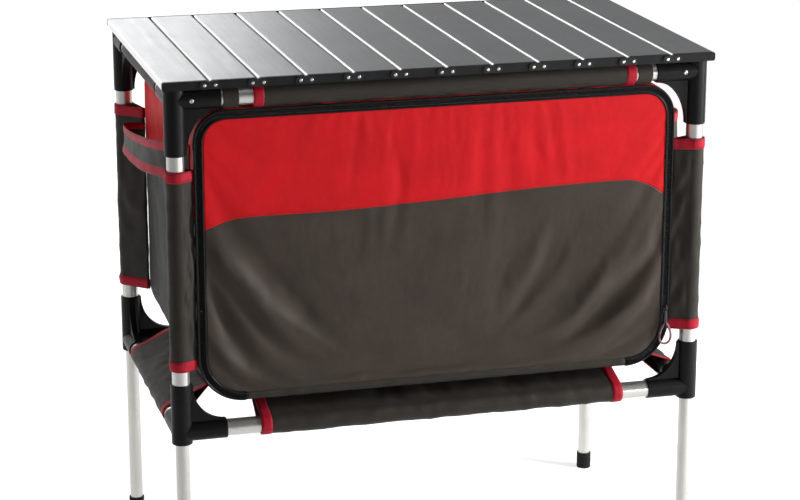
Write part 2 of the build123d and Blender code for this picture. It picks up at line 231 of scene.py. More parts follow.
def nylon_weave(s, uv, pitch=0.0011):
    """Height of a plain weave with this thread pitch, from a UV in metres."""
    u, v, _ = s.split(uv)
    warp = s.wave(u, pitch)
    weft = s.wave(v, pitch)
    return s.math("ADD", s.times(warp, weft), s.size(s.math("ADD", warp, weft)))


def nylon(name, colour, seam=None, below=None, roughness=0.55, sheen=0.25, seam_shape=False):
    """Coated nylon cloth; below a seam height, taken from the UV, it is a second colour."""
    s = Shader(name)
    uv = s.coordinates("UV")
    weave = nylon_weave(s, uv)
    slub = s.noise(uv, 1.0, 2.0, 0.6, (1500.0, 90.0, 1.0))
    blotch = s.noise(uv, 14.0, 4.0, 0.6)
    crumple = s.noise(uv, 42.0, 5.0, 0.62, (1.0, 0.7, 1.0))
    tone = s.mix(s.range(blotch, 0.35, 0.65, 0.0, 1.0), colour, shade(colour, 0.84))
    seam_line = None
    if seam is not None:
        u, v, _ = s.split(uv)
        line = seam
        if seam_shape:
            rise = s.range(u, -0.20, 0.26, 0.0, 0.016, smooth=True)
            bend = s.range(s.size(u), 0.276, 0.350)
            drop = s.times(s.times(bend, bend), s.range(u, -0.1, 0.1, 0.017, 0.036))
            line = s.math("SUBTRACT", s.math("ADD", line, rise), drop)
        off = s.math("SUBTRACT", v, line)
        second = s.mix(s.range(blotch, 0.35, 0.65), below, shade(below, 0.8))
        tone = s.mix(s.range(off, -0.0006, 0.0006), second, tone)
        near = s.size(s.math("SUBTRACT", off, 0.0022))
        dash = s.wave(u, 0.0032)
        stitch = s.times(s.range(near, 0.0004, 0.0008, 1.0, 0.0), s.range(dash, -0.3, 0.1))
        tone = s.mix(s.times(stitch, 0.55), tone, rgb(92, 16, 22))
        seam_line = s.math("ADD", s.range(s.size(off), 0.0, 0.0018, -1.0, 0.0), stitch)
    if seam is None:
        tone = s.mix(s.range(weave, 0.2, 2.2, 0.0, 0.22), tone, shade(colour, 0.55))
    height = s.math("ADD", s.times(weave, 0.35), s.times(slub, 0.4))
    normal = s.bump(crumple, 0.32, 0.0022)
    normal = s.bump(height, 0.28, 0.00025, normal)
    if seam_line is not None:
        normal = s.bump(seam_line, 0.7, 0.0008, normal)
    rough = s.range(s.math("ADD", blotch, slub), 0.6, 1.4, roughness - 0.07, roughness + 0.1)
    return s.finish(
        Base_Color=tone,
        Roughness=rough,
        Normal=normal,
        Sheen_Weight=sheen,
        Sheen_Roughness=0.4,
        Specular_IOR_Level=0.14,
    )


def tape(name, colour, stitched=True, roughness=0.6, rib=0.0016, sheen=0.1):
    """Binding tape: u runs along it, v across it from 0 to 1; ribs and two stitch rows."""
    s = Shader(name)
    u, v, _ = s.split(s.coordinates("UV"))
    ribs = s.wave(u, rib)
    worn = s.noise(s.coordinates("UV"), 1.0, 4.0, 0.6, (60.0, 3.0, 1.0))
    tone = s.mix(s.range(ribs, -1.0, 1.0, 0.0, 0.35), colour, shade(colour, 0.5))
    tone = s.mix(s.range(worn, 0.4, 0.75, 0.0, 0.4), tone, shade(colour, 1.45))
    height = ribs
    if stitched:
        off_middle = s.size(s.math("SUBTRACT", v, 0.5))
        row = s.size(s.math("SUBTRACT", off_middle, 0.36))
        dash = s.wave(u, 0.0034)
        stitch = s.times(s.range(row, 0.02, 0.05, 1.0, 0.0), s.range(dash, -0.35, 0.05))
        tone = s.mix(s.times(stitch, 0.6), tone, shade(colour, 0.3))
        height = s.math("ADD", s.times(ribs, 0.3), s.times(stitch, 1.5))
    normal = s.bump(height, 0.5, 0.0004, s.bump(worn, 0.3, 0.001))
    return s.finish(
        Base_Color=tone,
        Roughness=roughness,
        Normal=normal,
        Sheen_Weight=sheen,
        Sheen_Roughness=0.4,
        Specular_IOR_Level=0.2,
    )


def end_material():
    """Black end caps and links, with bare metal where the rivet heads are."""
    s = Shader("end_plastic_and_rivets")
    at = s.coordinates("Object")
    x, y, z = s.split(at)
    shifted = s.math("WRAP", x, SLAT_PITCH / 2)
    shifted.node.inputs[2].default_value = -SLAT_PITCH / 2
    across = s.math("SUBTRACT", s.size(shifted), PIN_OFFSET)
    up = s.math("SUBTRACT", z, SLAT_MID_Z)
    squared = s.math("ADD", s.times(across, across), s.times(up, up))
    on_head = s.range(s.math("SQRT", squared), 0.00256, 0.0027, 1.0, 0.0)
    proud = s.range(s.size(y), 0.24868, 0.24874)
    rivet = s.times(on_head, proud)
    link = s.range(s.size(y), 0.24655, 0.24665)
    fine = s.noise(at, 1300.0, 2.0)
    rubbed = s.noise(at, 45.0, 4.0, 0.7)
    black = s.mix(s.range(rubbed, 0.45, 0.8, 0.0, 0.6), rgb(14, 14, 14), rgb(34, 34, 34))
    black = s.mix(s.times(link, 0.5), black, rgb(40, 40, 41))
    tone = s.mix(rivet, black, rgb(205, 205, 200))
    rough = s.range(rivet, 0.0, 1.0, 0.46, 0.26)
    normal = s.bump(fine, 0.25, 0.0002, s.bump(rubbed, 0.1, 0.001))
    return s.finish(Base_Color=tone, Metallic=rivet, Roughness=rough, Normal=normal, Specular_IOR_Level=0.2)


def smoky_loop():
    """Thin smoky plastic tube of the finger loop, slightly see-through."""
    s = Shader("loop_plastic")
    at = s.coordinates("Object")
    cloudy = s.noise(at, 120.0, 3.0)
    tone = s.mix(s.range(cloudy, 0.3, 0.7), rgb(176, 138, 146), rgb(112, 60, 76))
    return s.finish(
        Base_Color=tone,
        Roughness=0.3,
        Transmission_Weight=0.35,
        IOR=1.45,
        Normal=s.bump(cloudy, 0.2, 0.0005),
    )


RED = rgb(198, 8, 20)
GREY = rgb(62, 54, 48)
materials = {
    # the slats' side faces are painted near white: a painted highlight, partly bare cut metal
    "slat": metal("slat_aluminium", rgb(186, 187, 189), 0.42, 1, 0.2, rgb(244, 244, 244)),
    "tube_x": metal("tube_aluminium_x", rgb(214, 213, 208), 0.3, 0, 0.18),
    "tube_y": metal("tube_aluminium_y", rgb(214, 213, 208), 0.3, 1, 0.18),
    "tube_z": metal("tube_aluminium_z", rgb(208, 207, 202), 0.3, 2, 0.18),
    "bracket": plastic("bracket_plastic", rgb(9, 9, 9), 0.4),
    "guide": plastic("guide_plastic", rgb(30, 30, 30), 0.5),
    "rubber": plastic("foot_rubber", rgb(20, 20, 20), 0.68, 0.4),
    "ends": end_material(),
    "door": nylon("door_nylon", RED, SEAM_Z, GREY, 0.5, 0.06, seam_shape=True),
    "bag": nylon("bag_nylon", rgb(204, 14, 24), SEAM_Z, rgb(39, 38, 37), 0.55, 0.04),
    "dark": nylon("dark_nylon", rgb(50, 46, 41), roughness=0.52, sheen=0.05),
    "lining": nylon("bag_lining", rgb(34, 32, 30), roughness=0.7, sheen=0.1),
    "binding": tape("crimson_binding", rgb(160, 8, 36), sheen=0.04),
    "zip_tape": tape("zip_tape", rgb(18, 18, 18), False, 0.55, 0.0011, 0.1),
    "piping": plastic("piping_vinyl", rgb(16, 16, 16), 0.28, 0.1),
    "teeth": plastic("zip_teeth", rgb(20, 20, 21), 0.24, 0.05),
    "slider": metal("slider_gunmetal", rgb(66, 64, 64), 0.3, 2, 0.1),
    "screw": metal("screw_steel", rgb(200, 200, 198), 0.25, 0, 0.1),
    "loop": smoky_loop(),
}


def dress(obj, key):
    """Give a piece its one material."""
    obj.data.materials.clear()
    obj.data.materials.append(materials[key])
    return obj


# ---- mesh builders
def add_object(name, data):
    """New object in the scene."""
    obj = bpy.data.objects.new(name, data)
    bpy.context.scene.collection.objects.link(obj)
    return obj


def make_object(name, points, faces, uvs):
    """Smooth mesh object from points, faces and one UV for each face corner."""
    mesh = bpy.data.meshes.new(name)
    mesh.from_pydata([tuple(map(float, p)) for p in points], [], [tuple(map(int, f)) for f in faces])
    layer = mesh.uv_layers.new(name="UVMap")
    layer.data.foreach_set("uv", np.asarray(uvs, np.float32).ravel())
    mesh.polygons.foreach_set("use_smooth", [True] * len(mesh.polygons))
    mesh.update()
    return add_object(name, mesh)


def grid_object(name, points, uv, around=False):
    """Grid of points [i][j]; with around, the second index closes on itself.

    uv has one more column than points where the grid closes.
    """
    rows, columns = points.shape[:2]
    faces = []
    corners = []
    last = columns if around else columns - 1
    for i in range(rows - 1):
        for j in range(last):
            k = (j + 1) % columns
            faces.append((i * columns + j, i * columns + k, (i + 1) * columns + k, (i + 1) * columns + j))
            corners += [uv[i][j], uv[i][j + 1], uv[i + 1][j + 1], uv[i + 1][j]]
    return make_object(name, points.reshape(-1, 3), faces, corners)


def uv_grid(u, v):
    """UV at every crossing of two lists of numbers."""
    return np.stack(np.meshgrid(u, v, indexing="ij"), -1)


def running(path):
    """Length along a path at each of its points."""
    return np.concatenate([[0], np.cumsum(np.linalg.norm(np.diff(path, axis=0), axis=1))])


def upright(xz, y):
    """Points in XZ placed at a depth."""
    return np.stack([xz[:, 0], np.full(len(xz), y), xz[:, 1]], -1)


def thicken(obj, thickness, offset=0.0):
    """Give a cloth its thickness, about the surface or to one side of it."""
    solid = obj.modifiers.new("thickness", "SOLIDIFY")
    solid.thickness = thickness
    solid.offset = offset
    return obj


def smooth_more(obj):
    """Subdivide a cloth once so that its folds are round."""
    sub = obj.modifiers.new("smooth", "SUBSURF")
    sub.levels = 1
    sub.render_levels = 1
    return obj


def waves(a, b, seed, shortest, longest, count=9):
    """Smooth irregular field of about -1 to 1; lengths are in metres."""
    pick = np.random.RandomState(seed)
    total = np.zeros_like(np.asarray(a, float) + np.asarray(b, float))
    for _ in range(count):
        angle = pick.uniform(0, pi)
        size = np.exp(pick.uniform(np.log(shortest), np.log(longest)))
        phase = pick.uniform(0, 2 * pi)
        total += np.sin((a * cos(angle) + b * sin(angle)) * 2 * pi / size + phase)
    return total / (count ** 0.5) / 1.2


def creases(a, b, seed, shortest, longest):
    """Sharp-topped folds from 0 to 1 over two coordinates."""
    return (1 - np.clip(np.abs(waves(a, b, seed, shortest, longest, 6)), 0, 1)) ** 3


def lathe(name, profile, centre, axis, steps=28):
    """Turned piece: profile is (distance along the axis, radius) pairs."""
    axis = np.asarray(axis, float)
    helper = np.array([0.0, 0.0, 1.0]) if abs(axis[2]) < 0.9 else np.array([1.0, 0.0, 0.0])
    side = np.cross(axis, helper)
    side /= np.linalg.norm(side)
    other = np.cross(axis, side)
    turn = np.linspace(0, 2 * pi, steps, endpoint=False)
    points = np.array([
        [np.asarray(centre) + axis * d + r * (side * cos(t) + other * sin(t)) for t in turn]
        for d, r in profile
    ])
    uv = uv_grid(np.arange(len(profile)) * 0.01, np.arange(steps + 1) * 0.001)
    return grid_object(name, points, uv, around=True)


def rod(name, path, radius, closed=False, sides=10):
    """Round bar swept along a path of points."""
    path = np.asarray(path, float)
    if closed:
        tangent = np.roll(path, -1, 0) - np.roll(path, 1, 0)
    else:
        tangent = np.gradient(path, axis=0)
    tangent /= np.linalg.norm(tangent, axis=1, keepdims=True)
    helper = np.array([0.0, 1.0, 0.0])
    if np.abs(tangent[:, 1]).max() > 0.9:
        helper = np.array([0.301, 0.113, 0.947])
    first = np.cross(tangent, helper)
    first /= np.linalg.norm(first, axis=1, keepdims=True)
    second = np.cross(tangent, first)
    turn = np.linspace(0, 2 * pi, sides, endpoint=False)
    ring = first[:, None] * np.cos(turn)[None, :, None]
    ring = ring + second[:, None] * np.sin(turn)[None, :, None]
    points = path[:, None] + radius * ring
    steps = running(path)
    if closed:
        points = np.concatenate([points, points[:1]])
        steps = np.append(steps, steps[-1] + np.linalg.norm(path[0] - path[-1]))
    uv = uv_grid(steps, np.arange(sides + 1) / sides)
    obj = grid_object(name, points, uv, around=True)
    if closed:
        weld = obj.modifiers.new("weld", "WELD")
        weld.merge_threshold = 1e-6
    return obj


def fit(x):
    """Narrow the right half of the bag, which ends nearer the middle than the left."""
    return np.where(np.asarray(x) > 0, np.asarray(x) * BAG_RIGHT / BAG_HALF, x)


def bag_outline(spacing=0.004):
    """Rounded outline of the bag in XZ as points, outward normals and running length.

    It starts in the middle of the lower edge and runs to the left, clockwise from the front.
    """
    half, low, high = BAG_HALF, BAG_LOW, BAG_HIGH
    low_r, high_r = CORNER_LOW, CORNER_HIGH
    points = []
    normals = []

    def straight(a, b, normal):
        count = max(2, int(np.hypot(b[0] - a[0], b[1] - a[1]) / spacing))
        for t in np.linspace(0, 1, count, endpoint=False):
            points.append((a[0] + (b[0] - a[0]) * t, a[1] + (b[1] - a[1]) * t))
            normals.append(normal)

    def turn(cx, cz, r, start, end):
        count = max(6, int(abs(end - start) * max(r, 0.02) / spacing))
        for t in np.linspace(start, end, count, endpoint=False):
            points.append((cx + r * cos(t), cz + r * sin(t)))
            normals.append((cos(t), sin(t)))

    straight((0, low), (-half + low_r, low), (0, -1))
    turn(-half + low_r, low + low_r, low_r, 1.5 * pi, pi)
    straight((-half, low + low_r), (-half, high - high_r), (-1, 0))
    turn(-half + high_r, high - high_r, high_r, pi, 0.5 * pi)
    straight((-half + high_r, high), (half - high_r, high), (0, 1))
    turn(half - high_r, high - high_r, high_r, 0.5 * pi, 0)
    straight((half, high - high_r), (half, low + low_r), (1, 0))
    turn(half - low_r, low + low_r, low_r, 0, -0.5 * pi)
    straight((half - low_r, low), (0, low), (0, -1))
    points = np.array(points)
    points[:, 0] = fit(points[:, 0])
    normals = np.array(normals, float)
    step = np.linalg.norm(np.roll(points, -1, 0) - points, axis=1)
    return points, normals, np.concatenate([[0], np.cumsum(step)])


# ---- the carried-over CAD
for name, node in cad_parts.items():
    if name.startswith("slat_"):
        dress(node, "slat")
    elif name.startswith("end_set_"):
        dress(node, "ends")
    elif "bracket" in name:
        dress(node, "bracket")
    elif name.startswith(("post_", "leg_front", "leg_rear")):
        dress(node, "tube_z")
    elif name in ("top_rail_front", "top_rail_rear", "lower_rail_front", "lower_rail_rear"):
        dress(node, "tube_x")
    elif "rail" in name:
        dress(node, "tube_y")
    elif name.startswith("foot_"):
        dress(node, "rubber")
    elif name == "leg_guides":
        dress(node, "guide")


# ---- bracket screws
def screw(name, centre, axis):
    """Domed steel screw head with a round recess, flush on a bracket arm."""
    profile = [(0.0, 0.0034), (0.0005, 0.0033), (0.0012, 0.0028), (0.0016, 0.0020), (0.00175, 0.0013)]
    profile += [(0.0013, 0.0011), (0.0009, 0.0006), (0.0008, 0.00005)]
    return dress(lathe(name, profile, centre, axis, 24), "screw")


for side_name, side in SIDES.items():
    for hand_name, hand in HANDS.items():
        at = (hand * (POST_X - 0.0225), side * (POST_Y + 0.0146), TOP_RAIL_Z)
        head = screw(f"screw_{side_name}_{hand_name}", at, (0, side, 0))
        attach(head, "frame")


# ---- the bag
outline, outward, run = bag_outline()
count = len(outline)
left_seam = run[np.argmin(np.abs(outline[:, 1] - SEAM_Z) + 9 * (outline[:, 0] > 0))]
right_seam = run[np.argmin(np.abs(outline[:, 1] - SEAM_Z) + 9 * (outline[:, 0] < 0))]
top_middle = (left_seam + right_seam) / 2
unrolled = np.where(run < top_middle, SEAM_Z + run - left_seam, SEAM_Z + right_seam - run)


def wall_offset(s, t, y):
    """How far the bag's wall stands out at a running length and depth."""
    slack = np.sin(pi * np.clip(t, 0, 1)) ** 0.6
    hollow = 0.0022 * waves(s, y, 31, 0.16, 0.5) + 0.0012 * waves(s, y, 32, 0.04, 0.11)
    pulled = 0.0016 * creases(s, y * 0.4, 33, 0.09, 0.25)
    edge = 0.0008 * waves(s, y * 0, 34, 0.018, 0.05) * np.exp(-((t - 0.02) / 0.06) ** 2)
    return slack * (hollow + pulled - 0.001) + edge


depths = np.concatenate([
    np.linspace(BAG_FRONT, BAG_FRONT + 0.03, 9)[:-1],
    np.linspace(BAG_FRONT + 0.03, BAG_BACK - BACK_ROUND, 44)[:-1],
    np.linspace(BAG_BACK - BACK_ROUND, BAG_BACK, 7),
])
wall = np.zeros((len(depths), count, 3))
wall_uv = np.zeros((len(depths), count + 1, 2))
for i, y in enumerate(depths):
    t = (y - BAG_FRONT) / (BAG_BACK - BAG_FRONT)
    round_in = 0.006 * (1 - np.sqrt(max(0.0, 1 - max(0.0, (y - BAG_BACK + BACK_ROUND) / BACK_ROUND) ** 2)))
    d = wall_offset(run[:-1], t, y) - round_in
    wall[i] = upright(outline + outward * d[:, None], y)
    wall_uv[i, :, 0] = y
    wall_uv[i, :, 1] = unrolled
bag_sides = grid_object("bag_sides", wall, wall_uv, around=True)
dress(bag_sides, "bag")
bag_sides.data.materials.append(materials["lining"])
solid = thicken(bag_sides, BAG_CLOTH)
solid.modifiers["thickness"].material_offset = 1
smooth_more(bag_sides)
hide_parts("organiser_bag")

rings = np.linspace(0.0, 1.0, 34) ** 0.8
middle = np.array([0.0, (BAG_LOW + BAG_HIGH) / 2])
back = np.zeros((len(rings), count, 3))
back_uv = np.zeros((len(rings), count + 1, 2))
for i, r in enumerate(rings):
    xz = middle + (outline - outward * 0.006 - middle) * r
    slack = (1 - r ** 4)
    y = BAG_BACK - 0.0004 + slack * (0.004 + 0.0024 * waves(xz[:, 0], xz[:, 1], 41, 0.15, 0.5))
    y += slack * 0.0016 * creases(xz[:, 0], xz[:, 1], 42, 0.1, 0.3)
    back[i] = upright(xz, y)
    back_uv[i, :-1] = xz
    back_uv[i, -1] = xz[0]
bag_rear = grid_object("bag_back", back, back_uv, around=True)
dress(bag_rear, "bag")
smooth_more(thicken(bag_rear, BAG_CLOTH))


def outline_path(inset, y, first=0, last=None):
    """Points of the outline at an inset and depth."""
    return upright((outline - outward * inset)[first:last], y)


rear_piping = rod("bag_back_piping", outline_path(0.0042, BAG_BACK - 0.0015), 0.0019, closed=True, sides=8)
dress(rear_piping, "piping")
for piece in (bag_sides, bag_rear, rear_piping):
    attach(piece, "frame")


# ---- the door
DOOR_LOW = BAG_LOW + DOOR_INSET
DOOR_HIGH = BAG_HIGH - DOOR_INSET
DOOR_HALF = BAG_HALF - DOOR_INSET
HIGH_FOLDS = 0.45
LOW_FOLDS = 1.25
RAIL_CLEAR_Z = 0.392
FOLDS = (
    # height, half width and line of each fold of the cloth, seen from the front
    (0.0105, 0.024, ((-0.345, 0.56), (-0.285, 0.517), (-0.233, 0.448), (-0.169, 0.377))),
    (-0.0088, 0.02, ((-0.345, 0.52), (-0.318, 0.455), (-0.283, 0.387))),
    (-0.0051, 0.021, ((-0.313, 0.585), (-0.251, 0.529), (-0.203, 0.466), (-0.144, 0.4))),
    (0.0024, 0.014, ((-0.298, 0.611), (-0.26, 0.574), (-0.231, 0.547))),
    (0.0068, 0.016, ((-0.338, 0.42), (-0.3, 0.368))),
    (0.0078, 0.022, ((0.342, 0.535), (0.253, 0.49), (0.186, 0.428), (0.13, 0.386))),
    (-0.0078, 0.015, ((0.335, 0.512), (0.269, 0.468), (0.228, 0.425), (0.197, 0.395))),
    (0.0058, 0.017, ((0.34, 0.468), (0.281, 0.425), (0.25, 0.39))),
    (-0.0048, 0.024, ((0.209, 0.565), (0.164, 0.497), (0.098, 0.43), (0.089, 0.39))),
    (0.0037, 0.024, ((0.163, 0.553), (0.103, 0.481), (0.057, 0.423))),
    (0.0031, 0.01, ((-0.109, 0.612), (-0.111, 0.54))),
    (-0.0034, 0.009, ((-0.082, 0.745), (-0.06, 0.64), (-0.082, 0.546))),
    (0.0037, 0.009, ((-0.126, 0.755), (-0.094, 0.69))),
    (0.0031, 0.013, ((0.085, 0.74), (0.128, 0.66))),
    (-0.0034, 0.012, ((0.103, 0.745), (0.172, 0.638))),
    (0.0031, 0.01, ((0.181, 0.72), (0.188, 0.632))),
    (-0.0022, 0.01, ((0.217, 0.705), (0.218, 0.655))),
    (0.0027, 0.022, ((-0.31, 0.73), (-0.27, 0.735))),
    (-0.0026, 0.02, ((-0.19, 0.7), (-0.19, 0.64))),
)


def door_half_width(z):
    """Half the door's width at a height, less in its rounded corners."""
    low_r = CORNER_LOW - DOOR_INSET
    high_r = CORNER_HIGH - DOOR_INSET
    if z < DOOR_LOW + low_r:
        return DOOR_HALF - low_r + np.sqrt(max(0.0, low_r ** 2 - (DOOR_LOW + low_r - z) ** 2))
    if z > DOOR_HIGH - high_r:
        return DOOR_HALF - high_r + np.sqrt(max(0.0, high_r ** 2 - (z - DOOR_HIGH + high_r) ** 2))
    return DOOR_HALF


def near_line(x, z, line):
    """Distance to a line of points, and how far along it from 0 to 1."""
    line = np.asarray(line, float)
    best = np.full(x.shape, 9.0)
    along = np.zeros(x.shape)
    for k in range(len(line) - 1):
        a, b = line[k], line[k + 1]
        t = np.clip(((x - a[0]) * (b[0] - a[0]) + (z - a[1]) * (b[1] - a[1])) / ((b - a) @ (b - a)), 0, 1)
        d = np.hypot(x - a[0] - t * (b[0] - a[0]), z - a[1] - t * (b[1] - a[1]))
        closer = d < best
        best = np.where(closer, d, best)
        along = np.where(closer, (k + t) / (len(line) - 1), along)
    return best, along


ROWS = 68
COLUMNS = 116
spread = np.linspace(-1, 1, COLUMNS)
heights = DOOR_LOW + (DOOR_HIGH - DOOR_LOW) * (0.5 - 0.5 * np.cos(np.linspace(0, pi, ROWS)))
heights = 0.45 * heights + 0.55 * np.linspace(DOOR_LOW, DOOR_HIGH, ROWS)
panel = np.zeros((ROWS, COLUMNS, 3))
for i, z in enumerate(heights):
    half = door_half_width(z)
    panel[i, :, 0] = fit(spread * half)
    panel[i, :, 2] = z
x, z = panel[:, :, 0], panel[:, :, 2]
panel_uv = np.stack([x, z], -1)
rim_gap = np.minimum(
    np.array([door_half_width(h) for h in heights])[:, None] * (1 - np.abs(spread)),
    np.minimum(z - DOOR_LOW, DOOR_HIGH - z),
)
inside = np.clip(rim_gap / 0.022, 0, 1) ** 0.8
swell = np.clip(1 - (x / BAG_HALF) ** 2, 0, 1) * np.clip(1 - ((z - 0.55) / 0.23) ** 2, 0, 1)
relief = 0.010 * swell + 0.0006 * waves(x, z, 51, 0.05, 0.16) + 0.0008 * creases(x, z, 52, 0.06, 0.2)
for tall, wide, line in FOLDS:
    distance, along = near_line(x, z, line)
    tall *= HIGH_FOLDS if line[0][1] > 0.6 else LOW_FOLDS
    bell = tall * np.exp(-(distance / wide) ** 2)
    relief = relief + bell * np.sin(pi * np.clip(along * 0.86 + 0.07, 0, 1)) ** 0.5
# near the hinge the open door must clear the lower front rail and its brackets
relief = np.minimum(relief, 0.002 + 0.20 * np.clip(z - RAIL_CLEAR_Z, 0, 1))
pucker = 0.0006 * waves(x, z, 53, 0.012, 0.03) * np.exp(-((rim_gap - 0.006) / 0.008) ** 2)
panel[:, :, 1] = DOOR_Y - inside * relief - pucker
door = grid_object("door_panel", panel, panel_uv)
dress(door, "door")


def relax(obj, pinned, frames, stiffness, bending, extra):
    """Let a cloth settle under its own weight between pinned points."""
    group = obj.vertex_groups.new(name="pinned")
    group.add([int(k) for k in pinned], 1.0, "ADD")
    cloth = obj.modifiers.new("cloth", "CLOTH")
    settings = cloth.settings
    settings.quality = 6
    settings.mass = 0.25
    settings.tension_stiffness = stiffness
    settings.compression_stiffness = stiffness
    settings.shear_stiffness = stiffness / 2
    settings.bending_stiffness = bending
    settings.tension_damping = 8
    settings.bending_damping = 2
    settings.vertex_group_mass = "pinned"
    settings.shrink_min = -extra
    settings.shrink_max = -extra
    cloth.collision_settings.use_collision = False
    scene = bpy.context.scene
    cloth.point_cache.frame_start = 1
    cloth.point_cache.frame_end = frames
    for number in range(1, frames + 1):
        scene.frame_set(number)
    graph = bpy.context.evaluated_depsgraph_get()
    settled = bpy.data.meshes.new_from_object(obj.evaluated_get(graph))
    places = np.zeros(len(settled.vertices) * 3)
    settled.vertices.foreach_get("co", places)
    obj.modifiers.remove(cloth)
    obj.vertex_groups.clear()
    obj.data.vertices.foreach_set("co", places)
    obj.data.update()
    bpy.data.meshes.remove(settled)
    scene.frame_set(1)


number = np.arange(ROWS * COLUMNS).reshape(ROWS, COLUMNS)
border = np.unique(np.concatenate([number[0], number[-1], number[:, 0], number[:, -1]]))
relax(door, border, 16, 30.0, 6.0, 0.0003)
thicken(smooth_more(door), DOOR_CLOTH)
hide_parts("organiser_door")
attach(door, "door")

# ---- the zip
hinge_ends = (CORNER_LOW - BAG_HALF, float(fit(BAG_HALF - CORNER_LOW)))
hinged = (outline[:, 0] > hinge_ends[0]) & (outline[:, 0] < hinge_ends[1]) & (outline[:, 1] < BAG_LOW + 0.01)
zipped = np.flatnonzero(~hinged)
first_zip, last_zip = int(zipped[0]), int(zipped[-1]) + 1


def zip_tape(name, insets, depths):
    """Tape along the zipped outline; its cross-section is given as insets and depths."""
    path = outline[first_zip:last_zip]
    normal = outward[first_zip:last_zip]
    points = np.zeros((len(path), len(insets), 3))
    for j, (inset, y) in enumerate(zip(insets, depths)):
        points[:, j] = upright(path - normal * inset, y)
    uv = uv_grid(run[first_zip:last_zip], np.arange(len(insets)) / (len(insets) - 1))
    tape_piece = grid_object(name, points, uv)
    thicken(tape_piece, ZIP_CLOTH)
    return dress(tape_piece, "zip_tape")


def teeth(name, parity):
    """Every other tooth of the zip, reaching in from one tape."""
    pitch = 0.0021
    places = np.arange(run[first_zip] + 0.004, run[last_zip - 1] - 0.004, pitch)[parity::2]
    side = 1.0 if parity == 0 else -1.0
    points = []
    faces = []
    uvs = []
    steps = (-1.0, -0.55, 0.0, 0.55, 1.0)
    fat = (0.35, 0.85, 1.0, 0.9, 0.45)
    ring = [(cos(a), sin(a)) for a in np.linspace(0, 2 * pi, 6, endpoint=False)]
    for s in places:
        k = min(int(np.searchsorted(run, s)) - 1, count - 1)
        t = (s - run[k]) / (run[k + 1] - run[k])
        xz = outline[k] * (1 - t) + outline[(k + 1) % count] * t
        n = outward[k]
        along = np.array([-n[1], n[0]])
        base = len(points)
        for step, scale in zip(steps, fat):
            centre = xz - n * (0.0061 - side * 0.0008 - step * 0.0018)
            for c, d in ring:
                p = centre + along * c * 0.00082 * scale
                points.append((p[0], BAG_FRONT - 0.0017 + d * 0.0011 * scale, p[1]))
        for i in range(len(steps) - 1):
            for j in range(6):
                q = (j + 1) % 6
                faces.append((base + i * 6 + j, base + i * 6 + q, base + i * 6 + 6 + q, base + i * 6 + 6 + j))
                uvs += [(0, 0), (0.1, 0), (0.1, 0.1), (0, 0.1)]
        for end in (0, 24):
            faces.append(tuple(base + end + j for j in range(6)))
            uvs += [(0, 0)] * 6
    return dress(make_object(name, points, faces, uvs), "teeth")


outer_tape = zip_tape(
    "zip_tape_outer",
    (0.0002, 0.0024, 0.0048),
    (BAG_FRONT - 0.0004, BAG_FRONT - 0.0013, BAG_FRONT - 0.0009),
)
inner_tape = zip_tape(
    "zip_tape_inner",
    (0.0074, 0.0098, 0.0128),
    (BAG_FRONT - 0.0009, BAG_FRONT - 0.0015, BAG_FRONT - 0.0021),
)
outer_line = outline_path(0.0012, BAG_FRONT - 0.0014, first_zip, last_zip)
inner_line = outline_path(0.0114, BAG_FRONT - 0.0026, first_zip, last_zip)
outer_piping = rod("zip_piping_outer", outer_line, 0.0020)
inner_piping = rod("zip_piping_inner", inner_line, 0.0017)
dress(outer_piping, "piping")
dress(inner_piping, "piping")
outer_teeth = teeth("zip_teeth_outer", 0)
inner_teeth = teeth("zip_teeth_inner", 1)
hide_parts("door_zip")
for piece in (outer_tape, outer_piping, outer_teeth):
    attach(piece, "frame")
for piece in (inner_tape, inner_piping, inner_teeth):
    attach(piece, "door")

# inset and depth across the hinge tape
HINGE_SECTION = (
    (0.0004, -0.0005), (0.0035, -0.0016), (0.0062, -0.0019), (0.0092, -0.0020), (0.0124, -0.0024)
)
HINGE_STEPS = 90
hinge_x = np.linspace(*hinge_ends, HINGE_STEPS)
ripple = 0.0004 * waves(hinge_x, hinge_x * 0, 61, 0.02, 0.07)
hinge_points = np.zeros((HINGE_STEPS, len(HINGE_SECTION), 3))
for j, (inset, y) in enumerate(HINGE_SECTION):
    height = np.full(HINGE_STEPS, BAG_LOW + inset)
    hinge_points[:, j] = np.stack([hinge_x, BAG_FRONT + y - ripple, height], -1)
hinge_uv = uv_grid(hinge_x, np.linspace(0, 1, len(HINGE_SECTION)))
hinge_tape = grid_object("door_hinge_tape", hinge_points, hinge_uv)
dress(hinge_tape, "dark")
thicken(hinge_tape, HINGE_CLOTH)
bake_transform(hinge_tape)

# ---- sleeves and webs
ARC = 26
LAYER = 12


def section(centre, target, radius, gap):
    """Closed path of doubled cloth round a tube and out to a seam.

    Returns points in the section plane, their outward normals, and how far
    each is out on the web: 0 round the tube, 1 at the seam.
    """
    reach = target - centre
    length = np.hypot(*reach)
    ahead = reach / length
    left = np.array([-ahead[1], ahead[0]])
    lean = np.arccos(np.clip((radius - gap / 2) / length, -1, 1))
    angles = np.linspace(lean, 2 * pi - lean, ARC)
    arc = centre + radius * (np.cos(angles)[:, None] * ahead + np.sin(angles)[:, None] * left)
    arc_normal = (arc - centre) / radius
    t = np.linspace(1, 0, LAYER, endpoint=False)[:, None]
    upper_seam = target + left * gap / 2
    lower_seam = target - left * gap / 2
    upper = arc[0] * (1 - t) + upper_seam * t
    lower = (arc[-1] * (1 - t) + lower_seam * t)[::-1]
    points = np.concatenate([upper, arc, lower])
    normals = np.concatenate([
        np.repeat(arc_normal[:1], LAYER, 0), arc_normal, np.repeat(arc_normal[-1:], LAYER, 0)
    ])
    out = np.concatenate([t[:, 0], np.zeros(ARC), t[::-1, 0]])
    return points, normals, out


